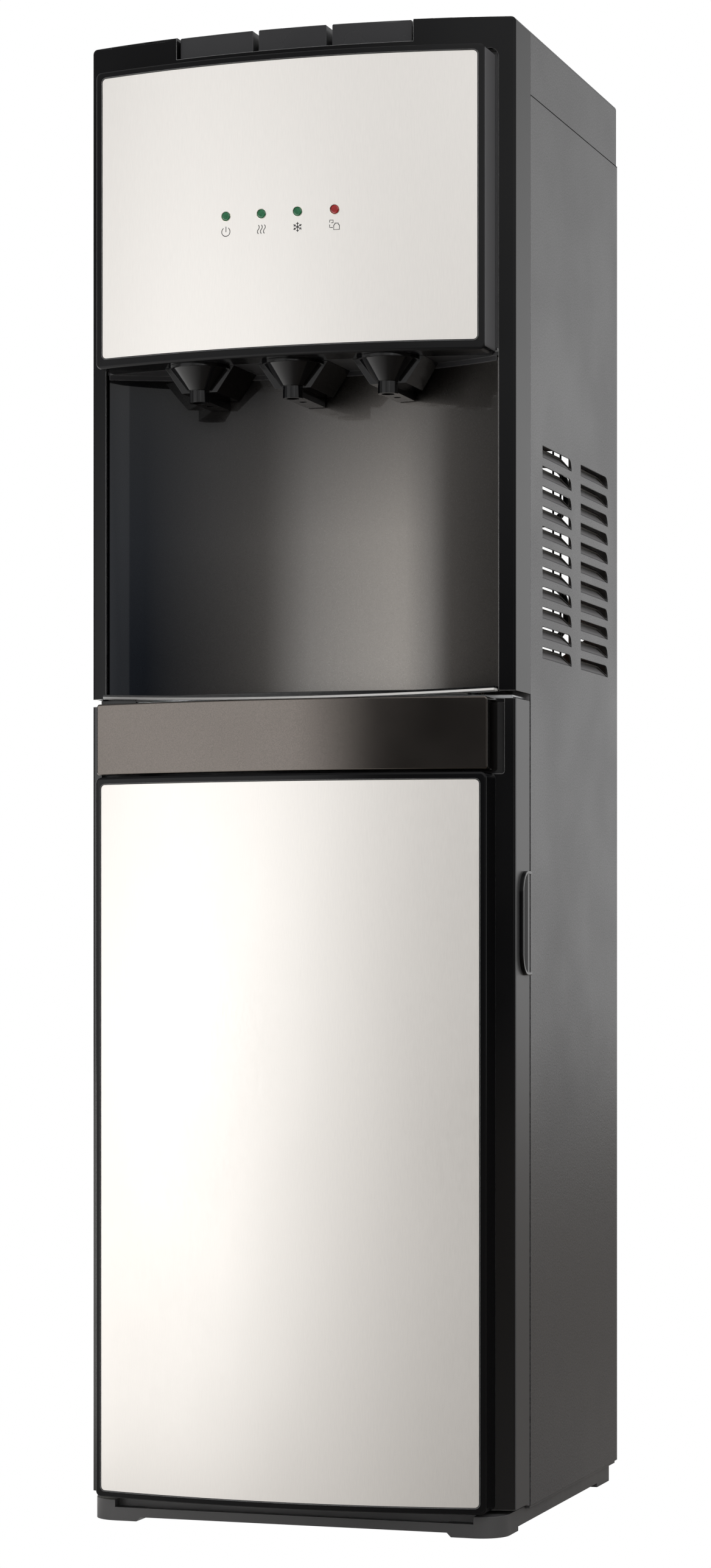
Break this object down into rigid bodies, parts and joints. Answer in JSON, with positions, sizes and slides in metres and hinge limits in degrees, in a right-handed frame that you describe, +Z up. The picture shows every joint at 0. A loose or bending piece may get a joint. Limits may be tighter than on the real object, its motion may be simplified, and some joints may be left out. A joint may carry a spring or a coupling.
{
  "type": "bottom load water cooler",
  "caption": "Tall free-standing bottom load water cooler with a bowed steel front, push keys, taps over a recessed bay and a hinged door over the bottle space.",
  "frame": {"origin": "on the floor, under the middle of the cooler's overall box", "axes": "+Z up, the front with its keys, taps and door looks along -Y, +X is to the viewer's right when facing the front"},
  "size_m": [0.3139, 0.33, 1.039],
  "materials": {
    "cabinet_steel": "fine textured powder coat",
    "galvanised_steel": "satin zinc",
    "stainless_facing": "brushed",
    "gloss_black": "gloss",
    "satin_black": "satin",
    "matte_black": "matte",
    "white_plastic": "matte",
    "foam": "fine beaded",
    "stainless_tank": "satin",
    "black_paint": "semi-gloss",
    "copper": "bright",
    "silicone": "translucent matte",
    "rubber_black": "matte",
    "lamp_green": "clear gloss",
    "lamp_red": "clear gloss",
    "circuit_green": "satin solder mask",
    "zinc_steel": "bright zinc",
    "switch_red": "gloss",
    "switch_green": "gloss",
    "cabinet_steel_plastic": "satin near-black"
  },
  "bodies": {
    "cabinet": {"base": "matte_black", "bay_liner": "gloss_black", "bottle_tray": "matte_black", "cable_gland": "matte_black", "cold_insulation": "foam", "cold_tank": "stainless_tank", "compressor": "black_paint", "compressor_feet": "rubber_black", "condenser": "black_paint", "control_board": "circuit_green", "copper_pipes": "copper", "drain_spigot": "white_plastic", "fasteners": "zinc_steel", "front_housing": "gloss_black", "green_lamps": "lamp_green", "hot_tank": "stainless_tank", "indicator_board": "circuit_green", "key_pivot_rod": "zinc_steel", "left_side_panel": "cabinet_steel", "left_tap": "satin_black", "lower_hinge": "zinc_steel", "magnet_strike": "zinc_steel", "mid_deck": "galvanised_steel", "middle_tap": "satin_black", "probe_hook": "white_plastic", "pump": "white_plastic", "rear_panel": "galvanised_steel", "red_lamp": "lamp_red", "right_side_panel": "cabinet_steel", "right_tap": "satin_black", "rod_guide": "white_plastic", "suction_hose": "silicone", "supply_tee": "white_plastic", "switch_frames": "matte_black", "tank_shelf": "galvanised_steel", "tap_plate": "satin_black", "top_cover": "satin_black", "upper_bezel": "gloss_black", "upper_hinge": "black_paint", "upper_panel": "stainless_facing", "water_hoses": "silicone"},
    "door": {"door_shell": "cabinet_steel_plastic", "door_handle": "satin_black", "door_bezel": "gloss_black", "door_panel": "stainless_facing", "door_band": "satin_black", "door_liner": "matte_black", "door_magnet": "rubber_black"},
    "left_key": {"left_key": "satin_black"},
    "middle_key": {"middle_key": "satin_black"},
    "right_key": {"right_key": "satin_black"},
    "left_push_rod": {"left_push_rod": "white_plastic"},
    "middle_push_rod": {"middle_push_rod": "white_plastic"},
    "right_push_rod": {"right_push_rod": "white_plastic"},
    "drip_tray": {"drip_tray": "gloss_black"},
    "drip_grille": {"drip_grille": "satin_black"},
    "heating_switch": {"heating_switch": "switch_red"},
    "cooling_switch": {"cooling_switch": "switch_green"},
    "drain_cap": {"drain_cap": "white_plastic"},
    "probe": {"probe": "white_plastic"}
  },
  "joints": [
    {"name": "door_hinge", "type": "hinge", "parent": "cabinet", "child": "door", "pos_m": [-0.147, -0.11, 0.3], "axis": [0, 0, -1], "range_deg": [0, 115]},
    {"name": "left_key_hinge", "type": "hinge", "parent": "cabinet", "child": "left_key", "pos_m": [-0.05685, -0.096, 1.03], "axis": [1, 0, 0], "range_deg": [0, 6], "stiffness_Nm_per_rad": 0.4, "springref_deg": -5.73},
    {"name": "middle_key_hinge", "type": "hinge", "parent": "cabinet", "child": "middle_key", "pos_m": [0, -0.096, 1.03], "axis": [1, 0, 0], "range_deg": [0, 6], "stiffness_Nm_per_rad": 0.4, "springref_deg": -5.73},
    {"name": "right_key_hinge", "type": "hinge", "parent": "cabinet", "child": "right_key", "pos_m": [0.05685, -0.096, 1.03], "axis": [1, 0, 0], "range_deg": [0, 6], "stiffness_Nm_per_rad": 0.4, "springref_deg": -5.73},
    {"name": "left_rod_slide", "type": "slide", "parent": "cabinet", "child": "left_push_rod", "axis": [0, 0, -1], "range_m": [0, 0.0037]},
    {"name": "middle_rod_slide", "type": "slide", "parent": "cabinet", "child": "middle_push_rod", "axis": [0, 0, -1], "range_m": [0, 0.0037]},
    {"name": "right_rod_slide", "type": "slide", "parent": "cabinet", "child": "right_push_rod", "axis": [0, 0, -1], "range_m": [0, 0.0037]},
    {"name": "tray_slide", "type": "slide", "parent": "cabinet", "child": "drip_tray", "axis": [0, -1, 0], "range_m": [0, 0.065]},
    {"name": "grille_lift", "type": "slide", "parent": "drip_tray", "child": "drip_grille", "axis": [0, 0, 1], "range_m": [0, 0.04]},
    {"name": "heating_switch_hinge", "type": "hinge", "parent": "cabinet", "child": "heating_switch", "pos_m": [-0.112, 0.145, 0.9], "axis": [1, 0, 0], "range_deg": [0, 16]},
    {"name": "cooling_switch_hinge", "type": "hinge", "parent": "cabinet", "child": "cooling_switch", "pos_m": [-0.084, 0.145, 0.9], "axis": [1, 0, 0], "range_deg": [0, 16]},
    {"name": "drain_cap_pull", "type": "slide", "parent": "cabinet", "child": "drain_cap", "axis": [0, 1, 0], "range_m": [0, 0.014]},
    {"name": "probe_unhook", "type": "slide", "parent": "cabinet", "child": "probe", "axis": [0, -1, 0], "range_m": [0, 0.03], "deforming": ["suction_hose"]}
  ],
  "couplings": [
    {"joint": "left_rod_slide", "follows": "left_key_hinge", "m_per_rad": 0.034},
    {"joint": "middle_rod_slide", "follows": "middle_key_hinge", "m_per_rad": 0.034},
    {"joint": "right_rod_slide", "follows": "right_key_hinge", "m_per_rad": 0.034}
  ]
}
